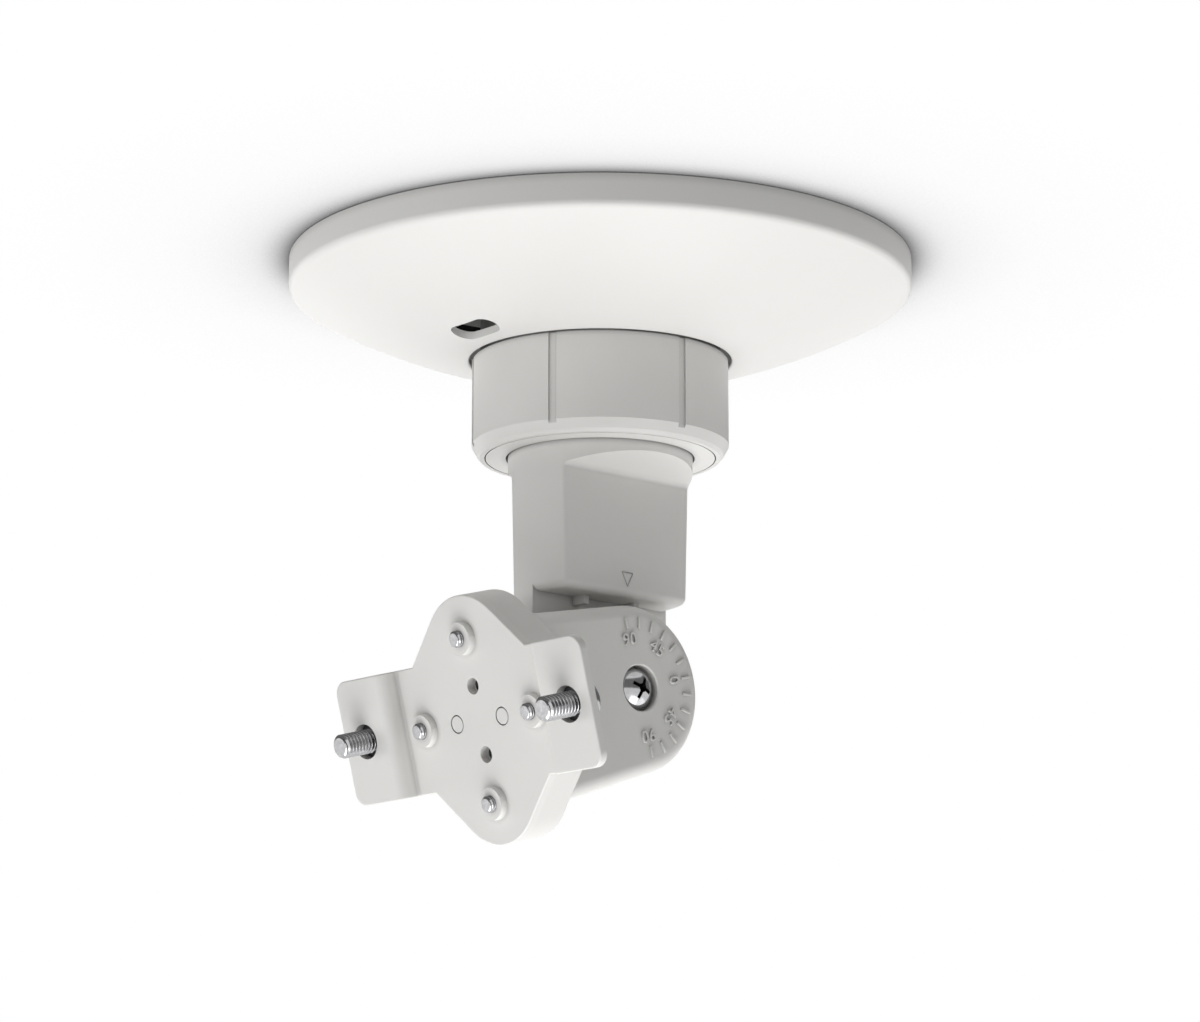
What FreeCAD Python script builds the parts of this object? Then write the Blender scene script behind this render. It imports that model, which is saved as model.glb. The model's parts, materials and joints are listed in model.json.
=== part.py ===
import FreeCAD, Part
import math
import os

# Speaker ceiling mount, in millimetres.
# The origin is where the pan axis meets the ceiling, +Z is up and +X is the side with the tilt scale.

# Canopy, the shallow cover against the ceiling
canopy_radius = 78.0
canopy_rim_height = 7.6
canopy_depth = 25.3
canopy_bulge = 1.6
canopy_wall = 1.5
canopy_edge_round = 2.0
canopy_ring_gap = 0.8
hole_edge_round = 0.4
grip_rib_count = 4
grip_rib_length = 14.0
grip_rib_thickness = 2.0
grip_rib_angle = 45.0
slot_length = 15.2
slot_width = 6.6
slot_offset = 39.6
slot_angle = -2.0

# Ceiling plate and its four screw holes
ceiling_plate_radius = 58.0
ceiling_plate_thickness = 3.0
ceiling_hole_circle = 83.5
ceiling_hole_radius = 2.75
ceiling_hole_count = 4
ceiling_hole_angle = 45.0
wire_hole_radius = 8.0
wire_hole_offset = 47.0

# Socket under the ceiling plate
socket_flange_width = 6.0
socket_flange_thickness = 4.0
socket_wall = 2.7
socket_core_radius = 16.0
socket_screw_edge = 2.5
socket_screw_count = 4

# Lock ring with spanner grooves
ring_wall = 1.92
ring_bottom_depth = 50.0
ring_chamfer_height = 3.1
ring_chamfer = 1.3
ring_foot_round = 0.8
ring_lip = 3.0
groove_count = 6
groove_width = 2.1
groove_depth = 0.5
groove_angle = -3.0

# Clamp bush that the lock ring lifts against the neck flange
bush_gap = 0.5
bush_wall = 5.0
bush_height = 10.0
bush_flange_thickness = 3.0
clamp_room = 0.5
pan_washer_thickness = 1.0

# Neck casting
shank_radius = 23.0
neck_flange_width = 4.0
neck_flange_thickness = 4.0
neck_bore_radius = 14.0
neck_bore_length = 13.0
neck_bottom_radius = 22.0
neck_length = 36.0
neck_flat = 10.0
shoulder_drop = 5.5
shoulder_rise = 3.2
neck_side_round = 1.2
neck_lower_round = 2.0
leg_end_radius = 19.2
leg_taper_height = 14.0
gusset_offset = 7.4
gusset_width = 1.6
gusset_reach = 4.2
gusset_room = 0.6

# Tilt joint
tilt = 15.0
arm_gap = 2.8
leg_boss_radius = 13.0
tilt_gap = 4.5
tilt_washer_thickness = 0.5
nut_across_flats = 8.0
nut_thickness = 4.0
nut_washer_thickness = 1.2
pivot_screw_radius = 2.5
pivot_head_radius = 4.95
pivot_head_rim = 1.9
pivot_head_dome = 2.3
counterbore_radius = 5.65
counterbore_depth = 3.4
counterbore_chamfer = 0.3

# Tilt arm casting
arm_side = 14.9
arm_radius = 20.7
arm_eye_shift = 0.8
arm_root_half_height = 23.3
arm_edge_round = 3.4
flange_back = 28.6
flange_thickness = 9.0
diamond_half_side = 25.8
diamond_lobe_radius = 15.0
flange_edge_round = 0.6
pad_half_height = 12.5
pad_room = 0.8
pin_spacing = 16.6
pin_radius = 2.0
pin_gap = 0.28
pin_chamfer = 0.1
blind_hole_radius = 1.7
blind_hole_depth = 8.0

# Speaker plate, folded sheet
sheet = 2.3
sheet_edge_round = 0.4
ear_half_height = 15.5
ear_end = 7.8
ear_step = 5.1
bolt_to_fold = 10.1
ear_corner_round = 3.6
bend_round = 2.4
fold_round = 0.5
plate_hole_radius = 2.05
boss_radius = 4.2
boss_top_radius = 3.9
boss_height = 1.7

# Screws
plate_screw_count = 4
plate_screw_circle = 40.0
plate_screw_radius = 2.0
plate_screw_head_radius = 3.5
plate_screw_head_height = 2.6
plate_screw_tip = 3.2
spring_washer_radius = 3.4
spring_washer_thickness = 1.0
bolt_spacing = 75.0
bolt_radius = 3.0
bolt_tip = 8.2
bolt_head_radius = 5.5
bolt_head_height = 3.9
bolt_hole_radius = 4.35
socket_screw_radius = 2.5
socket_screw_head_radius = 4.7
socket_screw_head_height = 2.2
screw_end_chamfer = 0.5
pan_head_crown = 0.45  # share of the head's height that is rounded

# Clearances
running_fit = 0.08
loose_fit = 0.3
screw_fit = 0.05

# Radii about the pan axis that follow from the sizes above
neck_flange_radius = shank_radius + neck_flange_width
socket_bore_radius = neck_flange_radius + loose_fit
socket_outer_radius = socket_bore_radius + socket_wall
socket_flange_radius = socket_outer_radius + socket_flange_width
socket_screw_circle = 2 * (socket_outer_radius + socket_screw_edge)
ring_bore_radius = socket_outer_radius + running_fit
ring_radius = ring_bore_radius + ring_wall
bush_bore_radius = shank_radius + bush_gap
bush_sleeve_radius = bush_bore_radius + bush_wall
ring_lip_radius = bush_sleeve_radius + loose_fit

# Depths below the ceiling that follow from the sizes above
ring_top_depth = canopy_depth
bush_top_depth = ring_bottom_depth - bush_height
neck_top_depth = bush_top_depth - neck_flange_thickness
socket_seat_depth = neck_top_depth - pan_washer_thickness
socket_end_depth = ring_bottom_depth - ring_lip - bush_flange_thickness - clamp_room
shoulder_depth = ring_bottom_depth + shoulder_drop
neck_bottom_depth = ring_bottom_depth + neck_length
pivot_depth = neck_bottom_depth + arm_radius + arm_gap

# Distances from the tilt axis and from the middle of the plate
pad_start = neck_bottom_radius + pad_room
flange_front = flange_back + flange_thickness
plate_front = flange_front + sheet
ear_front = plate_front + ear_step
ear_inner = bolt_spacing / 2 - bolt_to_fold
ear_reach = bolt_spacing / 2 + ear_end

AXIS_X = FreeCAD.Vector(1, 0, 0)
AXIS_Z = FreeCAD.Vector(0, 0, 1)
ORIGIN = FreeCAD.Vector(0, 0, 0)
TOLERANCE = 0.01  # for finding an edge by its place


def point(x, y, z=0.0):
    return FreeCAD.Vector(x, y, z)


def cylinder(radius, low, high, x=0.0, y=0.0):
    return Part.makeCylinder(radius, high - low, point(x, y, low))


def ring(outer, inner, low, high, x=0.0, y=0.0):
    return cylinder(outer, low, high, x, y).cut(cylinder(inner, low, high, x, y))


def box(low_corner, high_corner):
    size = high_corner - low_corner
    return Part.makeBox(size.x, size.y, size.z, low_corner)


def revolve(edges):
    face = Part.Face(Part.Wire(edges))
    return face.revolve(ORIGIN, AXIS_Z, 360)


def polyline(points):
    return [Part.makeLine(a, b) for a, b in zip(points, points[1:])]


def revolved_polygon(pairs):
    points = [point(r, 0, z) for r, z in pairs]
    return revolve(polyline(points + points[:1]))


def around(count, circle, start=0.0):
    angles = [math.radians(start + 360.0 * i / count) for i in range(count)]
    return [(circle / 2 * math.cos(a), circle / 2 * math.sin(a)) for a in angles]


def along_x(shape):
    turned = shape.copy()
    turned.rotate(ORIGIN, point(0, 1, 0), 90)
    return turned


def at_pivot(shape):
    moved = shape.copy()
    moved.translate(point(0, 0, -pivot_depth))
    return moved


def in_head(shape):
    # Head frame: x to the scale side, y up the plate, z out of the plate, origin on the tilt axis.
    turned = shape.copy()
    turned.rotate(ORIGIN, AXIS_X, 90 + tilt)
    return at_pivot(turned)


def fused(shapes):
    whole = shapes[0].multiFuse(shapes[1:]) if len(shapes) > 1 else shapes[0]
    return whole.removeSplitter()


def edges_where(shape, test):
    return [edge for edge in shape.Edges if test(edge.BoundBox)]


def near(value, target):
    return abs(value - target) < TOLERANCE


def level_at(bounds, height):
    return near(bounds.ZMin, height) and near(bounds.ZMax, height)


def write(name, shape):
    shape.exportStep("parts/" + name + ".step")


# Canopy

def dome_edges(outer_radius, inner_radius, lift):
    # Underside arc from the rim to the hole, raised by lift to give the inside of the wall.
    rim = point(outer_radius, 0, lift - canopy_rim_height)
    hole = point(inner_radius, 0, lift - canopy_depth)
    chord = hole - rim
    outward = point(-chord.z, 0, chord.x).normalize()
    middle = rim + chord * 0.5 + outward * canopy_bulge
    return rim, hole, Part.Arc(rim, middle, hole).toShape()


def dome_body(outer_radius, inner_radius, top, lift):
    rim, hole, arc = dome_edges(outer_radius, inner_radius, lift)
    top_in = point(inner_radius, 0, top)
    top_out = point(outer_radius, 0, top)
    return revolve(polyline([hole, top_in, top_out, rim]) + [arc])


def slot_cutter():
    straight = (slot_length - slot_width) / 2
    low = -canopy_depth - slot_width
    ends = [cylinder(slot_width / 2, low, 0, side * straight, -slot_offset) for side in (-1, 1)]
    middle = box(point(-straight, -slot_offset - slot_width / 2, low),
                 point(straight, -slot_offset + slot_width / 2, 0))
    cutter = fused([middle] + ends)
    cutter.rotate(ORIGIN, AXIS_Z, slot_angle)
    return cutter


def grip_ribs():
    # Short ribs inside the canopy that grip the edge of the ceiling plate.
    inner = ceiling_plate_radius + running_fit
    whole_ring = ring(inner + grip_rib_thickness, inner, -canopy_depth, -loose_fit)
    ribs = []
    for i in range(grip_rib_count):
        sector = box(point(0, -grip_rib_length / 2, -canopy_depth),
                     point(canopy_radius, grip_rib_length / 2, 0))
        sector.rotate(ORIGIN, AXIS_Z, grip_rib_angle + i * 360.0 / grip_rib_count)
        ribs.append(whole_ring.common(sector))
    return ribs


def make_canopy():
    hole_radius = ring_radius + canopy_ring_gap
    skin = dome_body(canopy_radius, hole_radius, 0, 0)
    skin = skin.makeFillet(canopy_edge_round, edges_where(skin, lambda b: level_at(b, -canopy_rim_height)))
    skin = skin.makeFillet(hole_edge_round, edges_where(skin, lambda b: level_at(b, -canopy_depth)))
    inside = dome_body(canopy_radius - canopy_wall, hole_radius - canopy_wall, canopy_wall, canopy_wall)
    ribs = [rib.common(skin) for rib in grip_ribs()]
    return fused([skin.cut(inside)] + ribs).cut(slot_cutter())


# Ceiling plate and socket

def socket_screw_places():
    return around(socket_screw_count, socket_screw_circle)


def countersink(gap, x, y):
    return Part.makeCone(socket_screw_radius + gap, socket_screw_head_radius + gap, socket_screw_head_height,
                         point(x, y, -socket_screw_head_height))


def make_ceiling_plate():
    plate = cylinder(ceiling_plate_radius, -ceiling_plate_thickness, 0)
    plate = plate.cut(cylinder(wire_hole_radius, -ceiling_plate_thickness, 0, 0, -wire_hole_offset))
    for x, y in around(ceiling_hole_count, ceiling_hole_circle, ceiling_hole_angle):
        plate = plate.cut(cylinder(ceiling_hole_radius, -ceiling_plate_thickness, 0, x, y))
    for x, y in socket_screw_places():
        plate = plate.cut(cylinder(socket_screw_radius + screw_fit, -ceiling_plate_thickness, 0, x, y))
        plate = plate.cut(countersink(screw_fit, x, y))
    return plate


def make_socket():
    top = -ceiling_plate_thickness
    body = revolved_polygon([
        (socket_core_radius, top), (socket_flange_radius, top),
        (socket_flange_radius, top - socket_flange_thickness),
        (socket_outer_radius, top - socket_flange_thickness),
        (socket_outer_radius, -socket_end_depth), (socket_bore_radius, -socket_end_depth),
        (socket_bore_radius, -socket_seat_depth), (socket_core_radius, -socket_seat_depth)])
    for x, y in socket_screw_places():
        body = body.cut(cylinder(socket_screw_radius + screw_fit, top - socket_flange_thickness, top, x, y))
    return body


def make_socket_screws():
    end = -ceiling_plate_thickness - socket_flange_thickness
    screws = []
    for x, y in socket_screw_places():
        shank = cylinder(socket_screw_radius, end, 0, x, y)
        screws.append(fused([shank, countersink(0, x, y)]))
    return Part.makeCompound(screws)


# Lock ring, clamp bush and pan washer

def make_lock_ring():
    low = -ring_bottom_depth
    foot_radius = ring_radius - ring_chamfer
    ring_body = revolved_polygon([
        (ring_radius, -ring_top_depth), (ring_radius, low + ring_chamfer_height),
        (foot_radius, low + ring_foot_round), (foot_radius - ring_foot_round, low),
        (ring_lip_radius, low), (ring_lip_radius, low + ring_lip),
        (ring_bore_radius, low + ring_lip), (ring_bore_radius, -ring_top_depth)])
    for i in range(groove_count):
        groove = box(point(ring_radius - groove_depth, -groove_width / 2, low + ring_foot_round),
                     point(ring_radius + groove_depth, groove_width / 2, -ring_top_depth))
        groove.rotate(ORIGIN, AXIS_Z, groove_angle + i * 360.0 / groove_count)
        ring_body = ring_body.cut(groove)
    return ring_body


def make_clamp_bush():
    flange_radius = socket_outer_radius - loose_fit
    flange_low = -ring_bottom_depth + ring_lip
    flange_high = flange_low + bush_flange_thickness
    return revolved_polygon([
        (bush_bore_radius, -bush_top_depth), (neck_flange_radius, -bush_top_depth),
        (neck_flange_radius, flange_high), (flange_radius, flange_high),
        (flange_radius, flange_low), (bush_sleeve_radius, flange_low),
        (bush_sleeve_radius, -ring_bottom_depth), (bush_bore_radius, -ring_bottom_depth)])


def make_pan_washer():
    return ring(neck_flange_radius, socket_core_radius, -neck_top_depth, -socket_seat_depth)


# Neck

def side_cutter(side):
    # Removes the metal outside one flat, with a sloped shoulder above it.
    reach = 2 * shank_radius
    slope = shoulder_rise / (shank_radius - neck_flat)
    corners = [point(neck_flat, -reach, -shoulder_depth),
               point(reach, -reach, -shoulder_depth + slope * (reach - neck_flat)),
               point(reach, -reach, -2 * pivot_depth), point(neck_flat, -reach, -2 * pivot_depth)]
    cutter = Part.Face(Part.Wire(polyline(corners + corners[:1]))).extrude(point(0, 2 * reach, 0))
    if side < 0:
        cutter = cutter.mirror(ORIGIN, AXIS_X)
    return cutter


def make_neck_blank():
    low = -pivot_depth - neck_bottom_radius
    blank = Part.makeCone(neck_bottom_radius, shank_radius, neck_bottom_depth - ring_bottom_depth,
                          point(0, 0, -neck_bottom_depth))
    return fused([blank, cylinder(neck_bottom_radius, low, -neck_bottom_depth)])


def tapered_eye(radius, far, half_width, low, high):
    # Plate across the x axis with a round end about it, widening to half_width at z = far.
    lean = math.atan2(half_width, far) + math.acos(radius / math.hypot(half_width, far))
    touch = point(low, radius * math.sin(lean), radius * math.cos(lean))
    opposite = point(low, -touch.y, touch.z)
    around_end = Part.Arc(touch, point(low, 0, -radius), opposite).toShape()
    sides = polyline([opposite, point(low, -half_width, far), point(low, half_width, far), touch])
    return Part.Face(Part.Wire([around_end] + sides)).extrude(point(high - low, 0, 0))


def leg_outline():
    # Full width down to the taper, which leads into the round end about the tilt axis.
    eye = tapered_eye(leg_end_radius, leg_taper_height, neck_bottom_radius, -shank_radius, shank_radius)
    upper = box(point(-shank_radius, -shank_radius, leg_taper_height),
                point(shank_radius, shank_radius, pivot_depth))
    return at_pivot(eye.fuse(upper).removeSplitter())


def on_neck_flat(bounds):
    above_overhang = bounds.ZMax > -neck_bottom_depth + TOLERANCE
    outer_leg = bounds.XMax < 0
    return near(bounds.XLength, 0) and near(abs(bounds.XMax), neck_flat) and (above_overhang or outer_leg)


def under_overhang(bounds):
    return level_at(bounds, -neck_bottom_depth) and bounds.XMax > TOLERANCE


def gusset(side):
    low = gusset_offset if side > 0 else -gusset_offset - gusset_width
    drop = arm_gap - gusset_room
    return box(point(0, low, -neck_bottom_depth - drop),
               point(gusset_reach, low + gusset_width, -neck_bottom_depth))


def pivot_hole(gap):
    reach = neck_flat + arm_side
    return along_x(Part.makeCylinder(pivot_screw_radius + gap, 2 * reach, point(0, 0, -reach)))


def make_neck():
    body = make_neck_blank().cut(side_cutter(1)).cut(side_cutter(-1))
    body = body.common(leg_outline())
    under = box(point(0, -shank_radius, -2 * pivot_depth),
                point(shank_radius, shank_radius, -neck_bottom_depth))
    body = body.cut(under).removeSplitter()
    body = body.makeFillet(neck_lower_round, edges_where(body, under_overhang))
    body = body.makeFillet(neck_side_round, edges_where(body, on_neck_flat))
    shank = cylinder(shank_radius, -ring_bottom_depth, -bush_top_depth)
    flange = cylinder(neck_flange_radius - loose_fit, -bush_top_depth, -neck_top_depth)
    boss = along_x(Part.makeCylinder(leg_boss_radius, tilt_gap - tilt_washer_thickness))
    body = fused([body, shank, flange, at_pivot(boss), gusset(-1), gusset(1)])
    body = body.cut(cylinder(neck_bore_radius, -neck_top_depth - neck_bore_length, -neck_top_depth))
    body = body.cut(at_pivot(pivot_hole(screw_fit)))
    return body.cut(at_pivot(nut_blank(screw_fit, nut_thickness + nut_washer_thickness)))


# Tilt pivot

def nut_blank(gap, depth):
    across_corners = (nut_across_flats + 2 * gap) / math.cos(math.radians(30))
    corners = [point(-neck_flat, y, z) for y, z in around(6, across_corners)]
    return Part.Face(Part.Wire(polyline(corners + corners[:1]))).extrude(point(depth, 0, 0))


def make_pivot_nut():
    return at_pivot(nut_blank(0, nut_thickness).cut(pivot_hole(screw_fit)))


def x_ring(outer, inner, low, high):
    return at_pivot(along_x(ring(outer, inner, low, high)))


def make_nut_washer():
    low = -neck_flat + nut_thickness
    outer = nut_across_flats / 2 - screw_fit
    return x_ring(outer, pivot_screw_radius + screw_fit, low, low + nut_washer_thickness)


def make_tilt_washer():
    return x_ring(leg_boss_radius, pivot_screw_radius + screw_fit, tilt_gap - tilt_washer_thickness, tilt_gap)


def pan_screw(radius, length, head_radius, head_height):
    # Along +z from under the head, with a domed pan head below zero.
    shank = Part.makeCylinder(radius, length)
    shank = shank.makeChamfer(screw_end_chamfer, edges_where(shank, lambda b: level_at(b, length)))
    head = Part.makeCylinder(head_radius, head_height, point(0, 0, -head_height))
    crown = edges_where(head, lambda b: level_at(b, -head_height))
    return fused([shank, head.makeFillet(head_height * pan_head_crown, crown)])


def make_pivot_screw():
    # Low domed head on a plain rim, its crown just proud of the arm.
    seat = arm_side - counterbore_depth
    shank = cylinder(pivot_screw_radius, -neck_flat, seat)
    shank = shank.makeChamfer(screw_end_chamfer, edges_where(shank, lambda b: level_at(b, -neck_flat)))
    rim = cylinder(pivot_head_radius, seat, seat + pivot_head_rim)
    sphere_radius = (pivot_head_radius ** 2 + pivot_head_dome ** 2) / (2 * pivot_head_dome)
    crown = seat + pivot_head_rim + pivot_head_dome
    dome = Part.makeSphere(sphere_radius, point(0, 0, crown - sphere_radius))
    dome = dome.common(cylinder(sphere_radius, seat + pivot_head_rim, crown))
    return at_pivot(along_x(fused([shank, rim, dome])))


# Tilt arm and speaker plate, in the head frame

def diamond(low, high):
    # Square standing on its corner, with each corner rounded to a lobe.
    centre = (diamond_half_side - diamond_lobe_radius) * math.sqrt(2)

    def on_lobe(lobe, angle):
        turn = math.radians(90 * lobe)
        lean = turn + math.radians(angle)
        return point(centre * math.cos(turn) + diamond_lobe_radius * math.cos(lean),
                     centre * math.sin(turn) + diamond_lobe_radius * math.sin(lean), low)

    edges = []
    for lobe in range(4):
        edges.append(Part.Arc(on_lobe(lobe, -45), on_lobe(lobe, 0), on_lobe(lobe, 45)).toShape())
        edges.append(Part.makeLine(on_lobe(lobe, 45), on_lobe(lobe + 1, -45)))
    return Part.Face(Part.Wire(edges)).extrude(point(0, 0, high - low))


def pin_places():
    return [(side * pin_spacing / 2, 0) for side in (-1, 1)]


def locating_pins():
    pins = []
    for x, y in pin_places():
        pin = cylinder(pin_radius, flange_front, plate_front, x, y)
        pins.append(pin.makeChamfer(pin_chamfer, edges_where(pin, lambda b: level_at(b, plate_front))))
    return pins


def open_hole_places():
    return [(0, side * pin_spacing / 2) for side in (-1, 1)]


def plate_screw_places():
    return around(plate_screw_count, plate_screw_circle)


def make_tilt_arm():
    cheek = tapered_eye(arm_radius, flange_front - arm_eye_shift, arm_root_half_height, tilt_gap, arm_side)
    cheek.translate(point(0, 0, arm_eye_shift))
    outer_edges = edges_where(cheek, lambda b: near(b.XMin, arm_side) and near(b.XMax, arm_side)
                              and not near(b.ZMin, flange_front))
    cheek = cheek.makeFillet(arm_edge_round, outer_edges)
    pad = box(point(-arm_side, -pad_half_height, pad_start), point(tilt_gap, pad_half_height, flange_front))
    flange = diamond(flange_back, flange_front)
    flange = flange.makeFillet(flange_edge_round, edges_where(flange, lambda b: level_at(b, flange_back)))
    arm = fused([flange, cheek, pad] + locating_pins())
    for x, y in plate_screw_places():
        arm = arm.cut(cylinder(plate_screw_radius + screw_fit, flange_back, flange_front, x, y))
    for x, y in open_hole_places():
        arm = arm.cut(cylinder(blind_hole_radius, flange_front - blind_hole_depth, flange_front, x, y))
    seat = arm_side - counterbore_depth
    arm = arm.cut(along_x(Part.makeCylinder(counterbore_radius, arm_side, point(0, 0, seat))))
    mouth = Part.makeCone(counterbore_radius, counterbore_radius + counterbore_chamfer, counterbore_chamfer,
                          point(0, 0, arm_side - counterbore_chamfer))
    arm = arm.cut(along_x(mouth))
    return arm.cut(pivot_hole(running_fit))


def ear_strip():
    # Section of the folded sheet across both ears, extruded to the ears' height.
    back = flange_front
    front = plate_front
    ear_back = ear_front - sheet
    outer = ear_inner + sheet

    def arc(cx, cz, radius, a, b):
        spots = [math.radians(a), math.radians((a + b) / 2), math.radians(b)]
        through = [point(cx + radius * math.cos(t), 0, cz + radius * math.sin(t)) for t in spots]
        return Part.Arc(*through).toShape()

    right = [
        arc(outer - bend_round, back + bend_round, bend_round, -90, 0),
        Part.makeLine(point(outer, 0, back + bend_round), point(outer, 0, ear_back - fold_round)),
        arc(outer + fold_round, ear_back - fold_round, fold_round, 180, 90),
        *polyline([point(outer + fold_round, 0, ear_back), point(ear_reach, 0, ear_back),
                   point(ear_reach, 0, ear_front), point(ear_inner + bend_round, 0, ear_front)]),
        arc(ear_inner + bend_round, ear_front - bend_round, bend_round, 90, 180),
        Part.makeLine(point(ear_inner, 0, ear_front - bend_round), point(ear_inner, 0, front + fold_round)),
        arc(ear_inner - fold_round, front + fold_round, fold_round, 0, -90),
        *polyline([point(ear_inner - fold_round, 0, front), point(0, 0, front),
                   point(0, 0, back), point(outer - bend_round, 0, back)])]
    strip = Part.Face(Part.Wire(right)).extrude(point(0, 2 * ear_half_height, 0))
    strip.translate(point(0, -ear_half_height, 0))
    corners = edges_where(strip, lambda b: near(b.XMin, ear_reach) and near(b.XLength + b.YLength, 0))
    strip = strip.makeFillet(ear_corner_round, corners)
    return fused([strip, strip.mirror(ORIGIN, AXIS_X)])


def front_outline(plate):
    # Every edge of the sheet's front side: the outline of the flat, the folds and the ears.
    edges = []
    for edge in plate.Edges:
        bounds = edge.BoundBox
        across = near(bounds.XLength, 0) and near(bounds.YLength, 2 * ear_half_height)
        on_flat = level_at(bounds, plate_front)
        on_ear = level_at(bounds, ear_front)
        inner_side = max(abs(bounds.XMin), abs(bounds.XMax)) < ear_inner + bend_round + TOLERANCE
        on_fold = bounds.ZMin > plate_front - TOLERANCE and near(bounds.YLength, 0) and inner_side
        if (on_flat or on_ear or on_fold) and not across:
            edges.append(edge)
    return edges


def make_speaker_plate():
    back = flange_front
    front = plate_front
    limit = ear_inner - bend_round
    reach = 2 * diamond_half_side
    flat = diamond(back, front).common(box(point(-limit, -reach, back), point(limit, reach, front)))
    bosses = [Part.makeCone(boss_radius, boss_top_radius, boss_height, point(x, y, front))
              for x, y in plate_screw_places()]
    plate = fused([flat, ear_strip()])
    plate = plate.makeFillet(sheet_edge_round, front_outline(plate))
    plate = fused([plate] + bosses)
    for x, y in plate_screw_places():
        plate = plate.cut(cylinder(plate_screw_radius + screw_fit, back, front + boss_height, x, y))
    for x, y in open_hole_places():
        plate = plate.cut(cylinder(plate_hole_radius, back, front, x, y))
    for x, y in pin_places():
        plate = plate.cut(cylinder(pin_radius + pin_gap, back, front, x, y))
    for side in (-1, 1):
        plate = plate.cut(cylinder(bolt_hole_radius, back, ear_front, side * bolt_spacing / 2, 0))
    return plate


def make_plate_screws():
    seat = flange_back - spring_washer_thickness
    length = plate_front + plate_screw_tip - seat
    screws = []
    for x, y in plate_screw_places():
        screw = pan_screw(plate_screw_radius, length, plate_screw_head_radius, plate_screw_head_height)
        screw.translate(point(x, y, seat))
        screws.append(screw)
    return Part.makeCompound(screws)


def make_spring_washers():
    low = flange_back - spring_washer_thickness
    washers = [ring(spring_washer_radius, plate_screw_radius + screw_fit, low, flange_back, x, y)
               for x, y in plate_screw_places()]
    return Part.makeCompound(washers)


def make_speaker_bolts():
    bolts = []
    for side in (-1, 1):
        bolt = pan_screw(bolt_radius, sheet + bolt_tip, bolt_head_radius, bolt_head_height)
        bolt.translate(point(side * bolt_spacing / 2, 0, ear_front - sheet))
        bolts.append(bolt)
    return Part.makeCompound(bolts)


os.makedirs("parts", exist_ok=True)
write("canopy", make_canopy())
write("ceiling_plate", make_ceiling_plate())
write("socket", make_socket())
write("socket_screws", make_socket_screws())
write("lock_ring", make_lock_ring())
write("clamp_bush", make_clamp_bush())
write("pan_washer", make_pan_washer())
write("neck", make_neck())
write("pivot_nut", make_pivot_nut())
write("nut_washer", make_nut_washer())
write("tilt_washer", make_tilt_washer())
write("pivot_screw", make_pivot_screw())
write("tilt_arm", in_head(make_tilt_arm()))
write("speaker_plate", in_head(make_speaker_plate()))
write("plate_screws", in_head(make_plate_screws()))
write("spring_washers", in_head(make_spring_washers()))
write("speaker_bolts", in_head(make_speaker_bolts()))
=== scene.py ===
import json
import math

import bmesh
import bpy
from mathutils import Matrix, Vector


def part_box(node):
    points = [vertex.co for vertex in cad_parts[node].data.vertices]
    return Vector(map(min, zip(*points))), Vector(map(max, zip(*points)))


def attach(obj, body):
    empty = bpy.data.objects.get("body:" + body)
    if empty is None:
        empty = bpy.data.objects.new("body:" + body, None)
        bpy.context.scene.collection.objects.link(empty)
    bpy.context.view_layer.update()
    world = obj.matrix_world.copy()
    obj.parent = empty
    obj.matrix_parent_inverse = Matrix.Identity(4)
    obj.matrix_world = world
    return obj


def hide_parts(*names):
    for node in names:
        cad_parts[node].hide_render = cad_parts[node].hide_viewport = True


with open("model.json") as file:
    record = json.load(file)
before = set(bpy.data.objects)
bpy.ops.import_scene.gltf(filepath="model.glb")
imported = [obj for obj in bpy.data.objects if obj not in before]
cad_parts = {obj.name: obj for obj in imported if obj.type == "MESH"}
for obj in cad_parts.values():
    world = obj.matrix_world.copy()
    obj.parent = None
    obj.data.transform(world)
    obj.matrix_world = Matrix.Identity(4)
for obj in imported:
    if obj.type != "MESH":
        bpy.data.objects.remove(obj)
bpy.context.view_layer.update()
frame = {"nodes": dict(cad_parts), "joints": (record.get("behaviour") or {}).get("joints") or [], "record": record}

nodes = frame["nodes"]
joints = {joint["name"]: joint for joint in frame["joints"]}
mounts = {mount["name"]: mount for mount in frame["record"]["mounts"]}
mm = 0.001
fullTurn = 2 * math.pi
print("frame loaded:", len(nodes), "nodes")


# Shader maths: a wire is one output socket, and sums on wires add Math nodes

class Wire:
    def __init__(self, tree, socket=None):
        self.tree = tree
        self.socket = socket

    def node(self, kind, settings=None, sockets=None, out=0):
        made = self.tree.nodes.new(kind)
        for name, value in (settings or {}).items():
            if name == "stops":
                fillRamp(made.color_ramp, value)
            else:
                setattr(made, name, value)
        for name, value in (sockets or {}).items():
            if isinstance(value, Wire):
                self.tree.links.new(value.socket, made.inputs[name])
            else:
                made.inputs[name].default_value = value
        return Wire(self.tree, made.outputs[out] if made.outputs else None)

    def math(self, operation, first, second):
        return self.node("ShaderNodeMath", {"operation": operation}, {0: first, 1: second})

    def __add__(self, other):
        return self.math("ADD", self, other)

    def __radd__(self, other):
        return self.math("ADD", other, self)

    def __sub__(self, other):
        return self.math("SUBTRACT", self, other)

    def __rsub__(self, other):
        return self.math("SUBTRACT", other, self)

    def __mul__(self, other):
        return self.math("MULTIPLY", self, other)

    def __rmul__(self, other):
        return self.math("MULTIPLY", other, self)

    def most(self, other):
        return self.math("MAXIMUM", self, other)


def fillRamp(ramp, stops):
    while len(ramp.elements) < len(stops):
        ramp.elements.new(1.0)
    for element, (place, value) in zip(ramp.elements, stops):
        element.position = place
        element.color = (value, value, value, 1.0)


def startMaterial(name):
    material = bpy.data.materials.new(name)
    material.use_nodes = True
    material.node_tree.nodes.clear()
    tree = Wire(material.node_tree)
    place = tree.node("ShaderNodeTexCoord", out="Object")
    return material, tree, place


def noise(tree, place, scale, detail=2.0):
    return tree.node("ShaderNodeTexNoise", None, {"Vector": place, "Scale": scale, "Detail": detail})


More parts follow.
